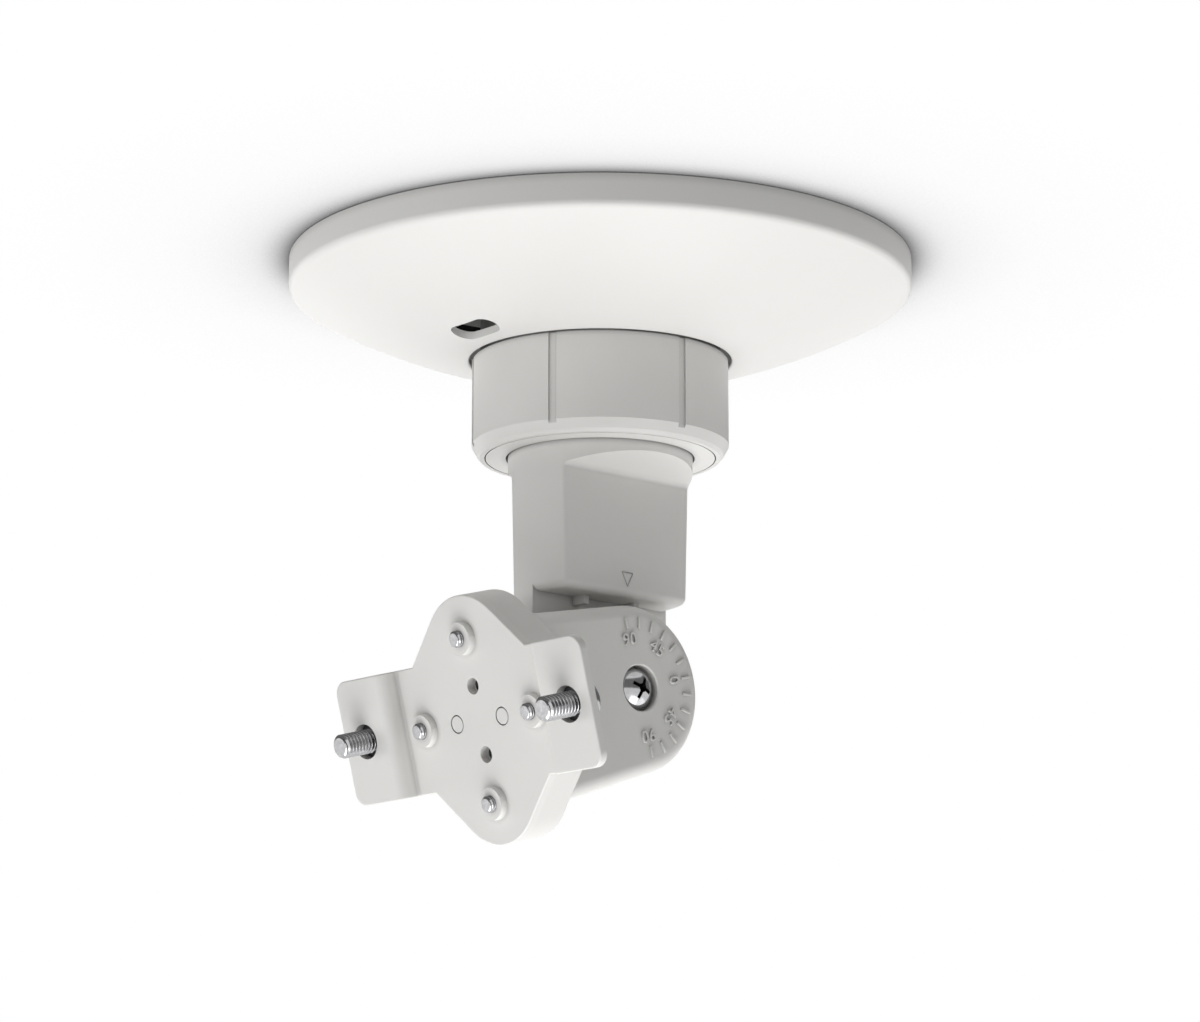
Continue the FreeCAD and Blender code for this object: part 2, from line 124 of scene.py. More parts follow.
def mixColour(tree, mask, first, second):       # colours are wires or plain red, green and blue
    ends = [end if isinstance(end, Wire) else (*end, 1.0) for end in (first, second)]
    settings = {"data_type": "RGBA", "blend_type": "MIX"}
    return tree.node("ShaderNodeMix", settings, {0: mask, 6: ends[0], 7: ends[1]}, out=2)


def bump(tree, height, depth, strength):
    return tree.node("ShaderNodeBump", None, {"Height": height, "Distance": depth, "Strength": strength})


def finishWith(tree, sockets):
    shader = tree.node("ShaderNodeBsdfPrincipled", None, sockets)
    tree.node("ShaderNodeOutputMaterial", None, {"Surface": shader})


def paintedCreaseShade(tree, tint, look):       # painted shade: ambient occlusion darkens the colour in grooves and seams
    samples = {"samples": look["creaseShadeSamples"]}
    shaded = tree.node("ShaderNodeAmbientOcclusion", samples, {"Color": tint, "Distance": look["creaseShadeReach"]})
    return mixColour(tree, look["creaseShadeShare"], tint, shaded)


# Finishes

def whiteFinish(name, look):       # painted or moulded white with a fine skin
    material, tree, place = startMaterial(name)
    cloud = noise(tree, place, look["cloudScale"])
    grain = noise(tree, place, look["grainScale"], 3.0)
    peel = noise(tree, place, look["peelScale"])
    height = grain * look["grainShare"] + peel * (1 - look["grainShare"])
    patches = cloud * look["cloudShare"] + grain * (1 - look["cloudShare"])
    tint = mixColour(tree, patches, look["dark"], look["light"])
    finishWith(tree, {
        # painted shade in grooves and seams goes into the base colour
        "Base Color": paintedCreaseShade(tree, tint, look),
        "Roughness": look["rough"] + (grain - 0.5) * look["roughSpread"],
        "Normal": bump(tree, height, look["depth"], look["strength"]),
        "IOR": look["index"]})
    return material


def zincFinish(name, look):       # bright plating with fine turning marks and a faint haze
    material, tree, place = startMaterial(name)
    haze = noise(tree, place, look["hazeScale"], 3.0)
    squeezed = tree.node("ShaderNodeMapping", None, {"Vector": place, "Scale": look["streak"]})
    streak = noise(tree, squeezed, look["streakScale"], 4.0)
    mottle = tree.node("ShaderNodeValToRGB", {"stops": look["mottle"]}, {"Fac": haze})
    roughness = look["rough"] + (streak - 0.5) * look["streakSpread"] + (haze - 0.5) * look["hazeSpread"]
    finishWith(tree, {
        "Base Color": mixColour(tree, mottle * 0.5 + streak * 0.5, look["dark"], look["light"]),
        "Metallic": 1.0,
        "Roughness": roughness,
        "Normal": bump(tree, streak, look["depth"], look["strength"])})
    return material


def castFinish(name, look):       # bare die casting, dull with a fine pebbled skin
    material, tree, place = startMaterial(name)
    flow = noise(tree, place, look["flowScale"], 3.0)
    pebble = tree.node("ShaderNodeTexVoronoi", None, {"Vector": place, "Scale": look["pebbleScale"]})
    finishWith(tree, {
        "Base Color": mixColour(tree, flow, look["dark"], look["light"]),
        "Metallic": look["metal"],
        "Roughness": look["rough"] + (flow - 0.5) * look["roughSpread"],
        "Normal": bump(tree, pebble, look["depth"], look["strength"])})
    return material


def fibreFinish(name, look):       # pressed friction fibre
    material, tree, place = startMaterial(name)
    strand = noise(tree, place, look["strandScale"], 5.0)
    finishWith(tree, {
        "Base Color": mixColour(tree, strand, look["dark"], look["light"]),
        "Roughness": look["rough"] + (strand - 0.5) * look["roughSpread"],
        "Normal": bump(tree, strand, look["depth"], look["strength"])})
    return material


# the crease keys set the painted shade that darkens grooves and seams
canopyLook = {"dark": (0.81, 0.80, 0.78), "light": (0.85, 0.84, 0.82), "rough": 0.46, "roughSpread": 0.12,
              "cloudScale": 18.0, "grainScale": 2200.0, "peelScale": 420.0, "grainShare": 0.4,
              "depth": 0.02 * mm, "strength": 0.25, "creaseShadeReach": 2.5 * mm, "creaseShadeShare": 0.5,
              "creaseShadeSamples": 4, "cloudShare": 0.6, "index": 1.45}
coatLook = {"dark": (0.77, 0.76, 0.74), "light": (0.82, 0.81, 0.79), "rough": 0.44, "roughSpread": 0.16,
            "cloudScale": 40.0, "grainScale": 2600.0, "peelScale": 700.0, "grainShare": 0.45,
            "depth": 0.03 * mm, "strength": 0.35, "creaseShadeReach": 1.6 * mm, "creaseShadeShare": 0.6,
            "creaseShadeSamples": 4, "cloudShare": 0.6, "index": 1.45}
sheetLook = dict(coatLook, light=(0.84, 0.83, 0.81), dark=(0.80, 0.79, 0.77), rough=0.55, peelScale=520.0)
bushLook = dict(canopyLook, rough=0.4, grainScale=1500.0)
zincLook = {"dark": (0.44, 0.44, 0.45), "light": (0.58, 0.58, 0.59), "rough": 0.16, "strength": 0.16,
            "hazeScale": 900.0, "streak": (1.0, 1.0, 1.0), "streakScale": 2400.0, "streakSpread": 0.18,
            "hazeSpread": 0.1, "mottle": [(0.35, 0.0), (0.7, 1.0)], "depth": 0.03 * mm}
# painted shade: near-black zinc that stands in for the shade deep in thread roots, screw seats, recesses and
# tapped holes
paintedShadeLook = dict(zincLook, dark=(0.03, 0.03, 0.03), light=(0.07, 0.07, 0.07), rough=0.42)
plateLook = dict(zincLook, dark=(0.55, 0.55, 0.54), light=(0.72, 0.73, 0.74), rough=0.38,
                 hazeScale=140.0, streak=(1.0, 14.0, 1.0), streakScale=180.0)
castLook = {"dark": (0.46, 0.46, 0.46), "light": (0.60, 0.60, 0.59), "rough": 0.5, "roughSpread": 0.2,
            "metal": 0.9, "flowScale": 60.0, "pebbleScale": 1400.0, "depth": 0.05 * mm, "strength": 0.4}
fibreLook = {"dark": (0.05, 0.045, 0.04), "light": (0.13, 0.12, 0.11), "rough": 0.8, "roughSpread": 0.2,
             "strandScale": 900.0, "depth": 0.06 * mm, "strength": 0.6}

canopyWhite = whiteFinish("canopyWhite", canopyLook)
coatWhite = whiteFinish("coatWhite", coatLook)
sheetWhite = whiteFinish("sheetWhite", sheetLook)
bushWhite = whiteFinish("bushWhite", bushLook)
brightZinc = zincFinish("brightZinc", zincLook)
paintedShadeZinc = zincFinish("paintedShadeZinc", paintedShadeLook)
screwFinishes = [brightZinc, paintedShadeZinc]
plateZinc = zincFinish("plateZinc", plateLook)
bareCasting = castFinish("bareCasting", castLook)
darkFibre = fibreFinish("darkFibre", fibreLook)

nodeFinish = {"canopy": canopyWhite, "lock_ring": coatWhite, "neck": coatWhite, "tilt_arm": coatWhite,
              "speaker_plate": sheetWhite, "clamp_bush": bushWhite, "ceiling_plate": plateZinc,
              "socket": bareCasting, "pan_washer": darkFibre, "tilt_washer": darkFibre,
              "nut_washer": brightZinc}
for nodeName, finish in nodeFinish.items():
    nodes[nodeName].data.materials.clear()
    nodes[nodeName].data.materials.append(finish)
print("finishes set on", len(nodeFinish), "nodes")


# Mesh helpers

weld = 0.002 * mm       # points closer than this are one


def lathe(mesh, outline, steps):       # outline is radius and height, from axis to axis
    points = [mesh.verts.new((radius, 0.0, height)) for radius, height in outline]
    edges = [mesh.edges.new(pair) for pair in zip(points, points[1:])]
    bmesh.ops.spin(mesh, geom=points + edges, cent=(0, 0, 0), axis=(0, 0, 1), angle=fullTurn, steps=steps,
                   use_merge=True)
    tidy(mesh)


def tidy(mesh):
    bmesh.ops.remove_doubles(mesh, verts=mesh.verts, dist=weld)
    bmesh.ops.recalc_face_normals(mesh, faces=mesh.faces)


def capEnds(mesh):
    rim = [edge for edge in mesh.edges if edge.is_boundary]
    bmesh.ops.holes_fill(mesh, edges=rim, sides=0)


def meshFrom(build, *details, finish=None):
    work = bmesh.new()
    build(work, *details)
    made = bpy.data.meshes.new("shape")
    work.to_mesh(made)
    work.free()
    if finish:
        made.materials.append(finish)
    return made


def carve(solid, cutters, operation):       # takes each cutter out of the solid, or keeps what lies in it
    scene = bpy.context.scene
    body = bpy.data.objects.new("cutBody", solid)
    scene.collection.objects.link(body)
    tools = []
    for cutter in cutters:
        tool = bpy.data.objects.new("cutTool", cutter)
        scene.collection.objects.link(tool)
        cut = body.modifiers.new("cut", "BOOLEAN")
        cut.operation = operation
        cut.solver = "EXACT"
        cut.material_mode = "TRANSFER"
        cut.object = tool
        tools.append(tool)
    bpy.context.view_layer.update()
    graph = bpy.context.evaluated_depsgraph_get()
    result = bpy.data.meshes.new_from_object(body.evaluated_get(graph))
    for used in [body] + tools:
        bpy.data.objects.remove(used)
    return result


def newVerts(grown):       # the points among what an extrusion made
    return [item for item in grown["geom"] if isinstance(item, bmesh.types.BMVert)]


def placed(shape, *places):       # one mesh holding a copy of the shape at each place
    work = bmesh.new()
    for place in places:
        copy = shape.copy()
        copy.transform(place)
        work.from_mesh(copy)
        bpy.data.meshes.remove(copy)
    made = bpy.data.meshes.new("group")
    work.to_mesh(made)
    work.free()
    return made


def addPiece(name, shape, finishes, body, stoodFor=(), sharpAngle=35.0):
    shape.name = name
    for finish in finishes:
        shape.materials.append(finish)
    for face in shape.polygons:
        face.use_smooth = True
    shape.set_sharp_from_angle(angle=math.radians(sharpAngle))
    piece = bpy.data.objects.new(name, shape)
    bpy.context.scene.collection.objects.link(piece)
    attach(piece, body)
    if stoodFor:
        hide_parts(*stoodFor)
    return piece


# Screws: the axis is +Z, the seat under the head is at 0 and the head is below it

threadForm = {"depth": 0.613, "shade": 0.55}       # shares of the pitch
recessForm = {"floorSpan": 0.42, "floorWidth": 0.66, "hubFloor": 0.62, "over": 0.3 * mm, "point": 0.5 * mm}


def buildHelix(mesh, size):       # the thread with flat ends, longer than the screw
    radius = size["radius"]
    pitch = size["pitch"]
    root = radius - threadForm["depth"] * pitch
    outline = [(root, 0.125), (radius, 0.4375), (radius, 0.5625), (root, 0.875), (root, 1.125)]
    start = size["threadStart"] - 1.5 * pitch
    points = [mesh.verts.new((r, 0.0, start + share * pitch)) for r, share in outline]
    edges = [mesh.edges.new(pair) for pair in zip(points, points[1:])]
    turns = math.ceil((size["length"] - start) / pitch) + 2
    bmesh.ops.spin(mesh, geom=points + edges, cent=(0, 0, 0), axis=(0, 0, 1),
                   dvec=(0, 0, pitch / size["steps"]), angle=fullTurn * turns, steps=size["steps"] * turns)
    bmesh.ops.remove_doubles(mesh, verts=mesh.verts, dist=weld)
    for height, clearInner in ((size["threadStart"], True), (size["length"] + 0.5 * pitch, False)):
        geometry = mesh.verts[:] + mesh.edges[:] + mesh.faces[:]
        bmesh.ops.bisect_plane(mesh, geom=geometry, plane_co=(0, 0, height), plane_no=(0, 0, 1),
                               clear_inner=clearInner, clear_outer=not clearInner)
    capEnds(mesh)
    tidy(mesh)


def buildTipShape(mesh, size):       # cylinder with the chamfered tip, to trim the thread to
    wide = size["radius"] + 0.2 * mm
    low = size["threadStart"] - 0.5 * mm
    tip = size["tipRadius"]
    end = size["length"]
    slope = end - (wide - tip) * size["tipSlope"]
    lathe(mesh, [(0.0, low), (wide, low), (wide, slope), (tip, end), (0.0, end)], 64)


def threadShape(size):       # the faces deep between the turns take the near-black painted-shade finish
    helix = meshFrom(buildHelix, size, finish=brightZinc)
    thread = carve(helix, [meshFrom(buildTipShape, size, finish=brightZinc)], "INTERSECT")
    deep = size["radius"] - threadForm["shade"] * size["pitch"]
    for face in thread.polygons:
        reach = math.hypot(face.center.x, face.center.y)
        face.material_index = int(reach < deep and abs(face.normal.z) < 0.6)
    return thread


def buildHead(mesh, size):       # pan head, or a low dome on a plain rim where the size has one
    radius = size["headRadius"]
    height = size["headHeight"]
    shank = size["radius"] - size["neckRelief"]
    end = size["threadStart"] + 0.2 * mm
    edge = 0.12 * mm
    outline = [(0.0, end), (shank, end), (shank, 0.0), (radius - edge, 0.0), (radius, -edge)]
    if "dome" in size:
        sphere = (radius ** 2 + size["dome"] ** 2) / (2 * size["dome"])
        spread = math.asin(radius / sphere)
        for i in range(17):
            turn = spread * (1 - i / 16)
            outline.append((sphere * math.sin(turn), -height + sphere * (1 - math.cos(turn))))
    else:
        crown = size["crown"]
        for i in range(9):
            turn = math.radians(90 * i / 8)
            inset = crown * (1 - math.cos(turn))
            outline.append((radius - inset, -height + crown - crown * math.sin(turn)))
        outline.append((0.0, -height))
    lathe(mesh, outline, 72)


def buildWing(mesh, size, turn):       # one arm of the cross recess, narrower towards its floor
    bmesh.ops.create_cube(mesh, size=1.0)
    top = -size["headHeight"] - recessForm["over"]
    depth = size["recessDepth"] + recessForm["over"]
    for vert in mesh.verts:
        floor = vert.co.z > 0
        vert.co.x *= size["recessSpan"] * (recessForm["floorSpan"] if floor else 1.0)
        vert.co.y *= size["recessWidth"] * (recessForm["floorWidth"] if floor else 1.0)
        vert.co.z = top + depth if floor else top
    bmesh.ops.rotate(mesh, verts=mesh.verts, cent=(0, 0, 0), matrix=Matrix.Rotation(turn, 3, "Z"))
    bmesh.ops.recalc_face_normals(mesh, faces=mesh.faces)


def buildHub(mesh, size):       # the cone in the middle of the cross recess
    top = -size["headHeight"] - recessForm["over"]
    low = -size["headHeight"] + size["recessDepth"] + recessForm["over"]
    wide = size["recessSpan"] * size["hubShare"]
    floor = wide * recessForm["hubFloor"]
    lathe(mesh, [(0.0, top), (wide, top), (floor, low - recessForm["point"]), (0.0, low)], 24)


def crossRecess(size):
    turns = [size["recessTurn"] + quarter * math.pi / 2 for quarter in (0, 1)]
    # the recess walls take the near-black finish: painted shade in the recess
    arms = [meshFrom(buildWing, size, turn, finish=paintedShadeZinc) for turn in turns]
    return arms + [meshFrom(buildHub, size, finish=paintedShadeZinc)]


def panScrew(size):       # the seat, deep in its hole, takes the near-black painted-shade finish as well
    head = carve(meshFrom(buildHead, size, finish=brightZinc), crossRecess(size), "DIFFERENCE")
    for face in head.polygons:
        if face.normal.z > 0.7 and face.center.z < 0.1 * mm:
            face.material_index = 1
    return joined(head, threadShape(size))


def joined(first, second):
    work = bmesh.new()
    work.from_mesh(first)
    work.from_mesh(second)
    made = bpy.data.meshes.new("screw")
    work.to_mesh(made)
    work.free()
    return made


# The head's own frame: x along the tilt axis, y up the plate, z out of the plate

outward = Vector(mounts["speaker_bolts"]["axis"])
tiltAxis = Vector(joints["tilt_turn"]["pos_m"])
acrossHead = Vector((1, 0, 0))
upHead = outward.cross(acrossHead)
headTurn = Matrix((acrossHead, upHead, outward)).transposed().to_4x4()
earFront = (Vector(mounts["speaker_bolts"]["pos_m"]) - tiltAxis).dot(outward)


def inHead(x, y, z):
    return Matrix.Translation(tiltAxis + headTurn.to_3x3() @ Vector((x, y, z))) @ headTurn


def headSpan(node):       # lowest and highest z of a node in the head's frame
    heights = [(v.co - tiltAxis).dot(outward) for v in nodes[node].data.vertices]
    return min(heights), max(heights)


# Bolts for the speaker

boltSize = {"radius": 3.0 * mm, "pitch": 1.0 * mm, "steps": 48, "tipRadius": 2.2 * mm, "tipSlope": 0.8,
            "threadStart": 0.6 * mm, "headRadius": 5.5 * mm, "headHeight": 3.9 * mm, "crown": 1.7 * mm,
            "neckRelief": 0.62 * mm, "recessSpan": 6.4 * mm, "recessWidth": 1.75 * mm,
            "recessDepth": 2.6 * mm, "hubShare": 0.27, "recessTurn": math.radians(12)}
boltSpacing = mounts["speaker_bolts"]["dims"]["pcd_mm"] * mm
boltLow, boltHigh = headSpan("speaker_bolts")
boltSeat = boltLow + boltSize["headHeight"]
boltSize["length"] = boltHigh - boltSeat
bolt = panScrew(boltSize)
boltPlaces = [inHead(side * boltSpacing / 2, 0, boltSeat) for side in (-1, 1)]
addPiece("threaded_bolts", placed(bolt, *boltPlaces), screwFinishes, "tilt_head",
         ["speaker_bolts"])
print("speaker bolts threaded")

# Screws that hold the plate to the arm

plateScrewSize = {"radius": 2.0 * mm, "pitch": 0.7 * mm, "steps": 40, "tipRadius": 1.5 * mm, "tipSlope": 0.8,
                  "threadStart": 8.0 * mm, "headRadius": 3.5 * mm, "headHeight": 2.6 * mm, "crown": 1.15 * mm,
                  "neckRelief": 0.44 * mm, "recessSpan": 4.3 * mm, "recessWidth": 1.2 * mm,
                  "recessDepth": 1.8 * mm, "hubShare": 0.27, "recessTurn": 0.0, "circle": 40.0 * mm,
                  "turns": (8, 31, 55, 74)}
screwLow, screwHigh = headSpan("plate_screws")
screwSeat = screwLow + plateScrewSize["headHeight"]
plateScrewSize["length"] = screwHigh - screwSeat
plateScrew = panScrew(plateScrewSize)
screwPlaces = []
for quarter, lean in enumerate(plateScrewSize["turns"]):
    angle = quarter * math.pi / 2
    ring = plateScrewSize["circle"] / 2
    place = inHead(ring * math.cos(angle), ring * math.sin(angle), screwSeat)
    screwPlaces.append(place @ Matrix.Rotation(math.radians(lean), 4, "Z"))
addPiece("threaded_plate_screws", placed(plateScrew, *screwPlaces), screwFinishes, "tilt_head",
         ["plate_screws"])

# Split spring washers under those screws

washerSize = {"outer": 3.4 * mm, "inner": 2.1 * mm, "gap": 14.0, "steps": 60, "lift": 0.18 * mm}


def buildSpringWasher(mesh, size, thickness):
    corners = [(size["inner"], 0.0), (size["outer"], 0.0), (size["outer"], 1.0), (size["inner"], 1.0)]
    drop = thickness - size["lift"]
    section = mesh.faces.new([mesh.verts.new((r, 0.0, share * drop)) for r, share in corners])
    steps = size["steps"]
    bmesh.ops.spin(mesh, geom=[section] + section.verts[:] + section.edges[:], cent=(0, 0, 0), axis=(0, 0, 1),
                   dvec=(0, 0, size["lift"] / steps), angle=math.radians(360 - size["gap"]), steps=steps)
    tidy(mesh)


washerLow, washerHigh = headSpan("spring_washers")
washer = meshFrom(buildSpringWasher, washerSize, washerHigh - washerLow)
washerPlaces = [place @ Matrix.Translation((0, 0, washerLow - screwSeat)) for place in screwPlaces]
addPiece("split_washers", placed(washer, *washerPlaces), [brightZinc], "tilt_head",
         ["spring_washers"])
print("plate screws and split washers placed")

# Pivot screw, its head to +X, and the nut at the other end

pivotSize = {"radius": 2.5 * mm, "pitch": 0.8 * mm, "steps": 40, "tipRadius": 1.9 * mm, "tipSlope": 0.8,
             "threadStart": 8.0 * mm, "headRadius": 4.95 * mm, "headHeight": 4.2 * mm, "dome": 2.3 * mm,
             "neckRelief": 0.5 * mm, "recessSpan": 7.0 * mm, "recessWidth": 1.0 * mm,
             "recessDepth": 2.6 * mm, "hubShare": 0.17, "recessTurn": math.radians(22)}
pivotLow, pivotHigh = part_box("pivot_screw")
pivotSeat = pivotHigh.x - pivotSize["headHeight"]
pivotSize["length"] = pivotSeat - pivotLow.x
pivotPlace = Matrix.Translation((pivotSeat, 0, tiltAxis.z)) @ Matrix.Rotation(-math.pi / 2, 4, "Y")
pivotScrew = placed(panScrew(pivotSize), pivotPlace)
addPiece("pivot_screw_cross", pivotScrew, screwFinishes, "pan_neck", ["pivot_screw"])

nutSize = {"flats": 8.0 * mm, "bore": 2.62 * mm, "chamfer": 0.11 * mm, "slope": math.radians(30), "cuts": 7}


def growRim(mesh, level, radius):       # a ring of faces from the open edge at this level in to the radius
    rim = [edge for edge in mesh.edges if edge.is_boundary and edge.verts[0].co.z * level > 0]
    for vert in newVerts(bmesh.ops.extrude_edge_only(mesh, edges=rim)):
        inwards = radius / math.hypot(vert.co.x, vert.co.y)
        vert.co = (vert.co.x * inwards, vert.co.y * inwards, level)


def buildNut(mesh, size, thickness):
    corner = size["flats"] / 2 / math.cos(math.radians(30))
    level = thickness / 2
    bmesh.ops.create_cone(mesh, cap_ends=False, segments=6, radius1=corner, radius2=corner, depth=thickness)
    outer = [edge for edge in mesh.edges if abs(edge.verts[0].co.z - edge.verts[1].co.z) < weld]
    bmesh.ops.subdivide_edges(mesh, edges=outer, cuts=size["cuts"])
    for vert in mesh.verts:       # the chamfer that rounds off the corners at both faces
        reach = math.hypot(vert.co.x, vert.co.y)
        over = max(0.0, reach - size["flats"] / 2)
        vert.co.z = math.copysign(level - over * math.tan(size["slope"]), vert.co.z)
    for side in (-level, level):
        growRim(mesh, side, size["flats"] / 2 - size["chamfer"])
        growRim(mesh, side, size["bore"])
    bmesh.ops.bridge_loops(mesh, edges=[edge for edge in mesh.edges if edge.is_boundary])
    tidy(mesh)


nutLow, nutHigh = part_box("pivot_nut")
nutPlace = Matrix.Translation(((nutLow.x + nutHigh.x) / 2, 0, tiltAxis.z))
nutPlace = nutPlace @ Matrix.Rotation(math.pi / 2, 4, "Y") @ Matrix.Rotation(math.radians(30), 4, "Z")
nut = meshFrom(buildNut, nutSize, nutHigh.x - nutLow.x)
addPiece("hex_nut", placed(nut, nutPlace), [brightZinc], "pan_neck", ["pivot_nut"])
print("pivot screw and nut placed")

# Countersunk screws in the ceiling plate

sunkSize = {"radius": 2.5 * mm, "headRadius": 4.7 * mm, "headHeight": 2.2 * mm, "circle": 65.0 * mm,
            "recessSpan": 5.2 * mm, "recessWidth": 1.4 * mm, "recessDepth": 1.9 * mm, "hubShare": 0.27,
            "recessTurn": 0.0, "turns": (14, 63, 38, 81)}


def buildSunkScrew(mesh, size, length):
    lathe(mesh, [(0.0, length - size["headHeight"]), (size["radius"], length - size["headHeight"]),
                 (size["radius"], 0.0), (size["headRadius"], -size["headHeight"] + 0.15 * mm),
                 (size["headRadius"], -size["headHeight"]), (0.0, -size["headHeight"])], 56)


sunkLow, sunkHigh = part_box("socket_screws")
sunkBlank = meshFrom(buildSunkScrew, sunkSize, sunkHigh.z - sunkLow.z, finish=brightZinc)
sunkScrew = carve(sunkBlank, crossRecess(sunkSize), "DIFFERENCE")
sunkPlaces = []
for quarter, lean in enumerate(sunkSize["turns"]):
    angle = quarter * math.pi / 2
    spot = Vector((math.cos(angle), math.sin(angle), 0)) * sunkSize["circle"] / 2
    spot.z = sunkHigh.z - sunkSize["headHeight"]
    turned = Matrix.Rotation(math.pi, 4, "X") @ Matrix.Rotation(math.radians(lean), 4, "Z")
    sunkPlaces.append(Matrix.Translation(spot) @ turned)
addPiece("sunk_screws", placed(sunkScrew, *sunkPlaces), screwFinishes, "ceiling_base",
         ["socket_screws"])
print("socket screws placed")

# Raised tilt scale on the arm

scaleSize = {"step": 15.0, "half": 6, "zero": 15.0, "inner": 14.5 * mm, "outer": 17.3 * mm, "width": 0.6 * mm,
             "rise": 0.5 * mm, "edge": 0.05 * mm, "digitRing": 11.8 * mm, "digitHeight": 3.05 * mm,
             "stroke": -0.03 * mm, "labels": {-6: "90", -3: "45", 0: "0", 3: "45", 6: "90"},
             "spacing": 1.15, "fontShare": 0.73, "shift": 0.85 * mm}       # centred on the arm's rounded end
scaleFace = max(v.co.x for v in nodes["tilt_arm"].data.vertices if abs(v.co.y) < 12 * mm)


def onArm(angle, reach):       # x outwards along the radius, z out of the arm's side
    turn = Matrix.Rotation(math.radians(angle), 4, "X")
    outwards = Matrix(((0, 0, 1, 0), (1, 0, 0, 0), (0, 1, 0, 0), (0, 0, 0, 1)))
    centre = Matrix.Translation((scaleFace, -scaleSize["shift"], tiltAxis.z))
    return centre @ turn @ outwards @ Matrix.Translation((reach, 0, 0))


def buildTick(mesh, size):
    bmesh.ops.create_cube(mesh, size=1.0)
    span = (size["outer"] - size["inner"], size["width"], 2 * size["rise"])
    bmesh.ops.scale(mesh, vec=span, verts=mesh.verts)
    bmesh.ops.bevel(mesh, geom=mesh.edges[:], offset=size["edge"], segments=2, profile=0.5,
                    affect="EDGES", material=-1)


def digitShape(text, size):
    curve = bpy.data.curves.new("digits", "FONT")
    curve.body = text
    curve.size = size["digitHeight"] / size["fontShare"]       # digits are lower than the font's size
    curve.space_character = size["spacing"]
    curve.align_x = "CENTER"
    curve.align_y = "CENTER"
    curve.extrude = size["rise"] - size["edge"]
    curve.offset = size["stroke"]
    curve.bevel_depth = size["edge"]
    curve.bevel_resolution = 1
    writing = bpy.data.objects.new("digits", curve)
    bpy.context.scene.collection.objects.link(writing)
    bpy.context.view_layer.update()
    graph = bpy.context.evaluated_depsgraph_get()
    shape = bpy.data.meshes.new_from_object(writing.evaluated_get(graph))
    bpy.data.objects.remove(writing)
    return shape


tick = meshFrom(buildTick, scaleSize)
middle = (scaleSize["inner"] + scaleSize["outer"]) / 2
marks = range(-scaleSize["half"], scaleSize["half"] + 1)
angles = {mark: scaleSize["zero"] + scaleSize["step"] * mark for mark in marks}
ticks = placed(tick, *[onArm(angle, middle) for angle in angles.values()])
addPiece("scale_marks", ticks, [coatWhite], "tilt_head")
for mark, text in scaleSize["labels"].items():
    upright = onArm(angles[mark], scaleSize["digitRing"]) @ Matrix.Rotation(-math.pi / 2, 4, "Z")
    digits = placed(digitShape(text, scaleSize), upright)
    addPiece("scale_number_%d" % (mark + scaleSize["half"]), digits, [coatWhite], "tilt_head")

# Threads in the two spare holes of the arm's flange

tapSize = {"wall": 1.69 * mm, "root": 1.62 * mm, "crest": 1.4 * mm, "pitch": 0.7 * mm, "turns": 10,
           "circle": 16.6 * mm, "front": 37.55 * mm, "depth": 7.9 * mm}


def buildTap(mesh, size):       # a cup that lines the hole, with the thread's ridges inside
    floor = -size["depth"]
    outline = [(0.0, floor), (size["wall"], floor), (size["wall"], 0.0), (size["root"], 0.0)]
    for turn in range(size["turns"]):
        top = -turn * size["pitch"]
        outline.append((size["crest"], top - 0.4 * size["pitch"]))
        outline.append((size["crest"], top - 0.55 * size["pitch"]))
        outline.append((size["root"], top - 0.95 * size["pitch"]))
    outline.append((0.0, -size["turns"] * size["pitch"] - 0.3 * mm))
    lathe(mesh, outline, 40)


tapPlaces = [inHead(0, side * tapSize["circle"] / 2, tapSize["front"]) for side in (-1, 1)]
tap = meshFrom(buildTap, tapSize)
# the threads are bare metal; their near-black finish is painted shade deep in the holes
addPiece("tapped_holes", placed(tap, *tapPlaces), [paintedShadeZinc], "tilt_head")
print("spare holes threaded")

# Pointer outline on the neck, above the scale

pointerSize = {"half": 1.75 * mm, "top": -80.25 * mm, "tip": -83.7 * mm, "line": 0.4 * mm, "rise": 0.16 * mm}


def buildPointer(mesh, size):
    corners = [(-size["half"], size["top"]), (size["half"], size["top"]), (0.0, size["tip"])]
    face = mesh.faces.new([mesh.verts.new((0.0, y, z)) for y, z in corners])
    bmesh.ops.inset_region(mesh, faces=[face], thickness=size["line"], use_boundary=True,
                           use_even_offset=True)
    bmesh.ops.delete(mesh, geom=[face], context="FACES_ONLY")
    raised = newVerts(bmesh.ops.extrude_face_region(mesh, geom=mesh.faces[:]))
    bmesh.ops.translate(mesh, verts=raised, vec=(2 * size["rise"], 0, 0))
    bmesh.ops.translate(mesh, verts=mesh.verts, vec=(-size["rise"], 0, 0))
    bmesh.ops.recalc_face_normals(mesh, faces=mesh.faces)


neckFlat = max(v.co.x for v in nodes["neck"].data.vertices if v.co.z < pointerSize["top"])
pointer = placed(meshFrom(buildPointer, pointerSize), Matrix.Translation((neckFlat, 0, 0)))
addPiece("pointer_mark", pointer, [coatWhite], "pan_neck")
print("tilt scale and pointer placed")


# Stage: a pale ceiling seen only from below, soft light and the camera

stageSize = {"reach": 6.0, "opening": 77.0 * mm, "height": 0.3 * mm}


def buildRing(mesh, inner, outer, height):
    rim = bmesh.ops.create_circle(mesh, cap_ends=False, segments=128, radius=inner)["verts"]
    edges = list({edge for vert in rim for edge in vert.link_edges})
    for vert in newVerts(bmesh.ops.extrude_edge_only(mesh, edges=edges)):
        vert.co *= outer / inner
    bmesh.ops.translate(mesh, verts=mesh.verts, vec=(0, 0, height))
    mesh.normal_update()
    upward = [face for face in mesh.faces if face.normal.z > 0]
    bmesh.ops.reverse_faces(mesh, faces=upward)       # faces down, so that the view from above passes through


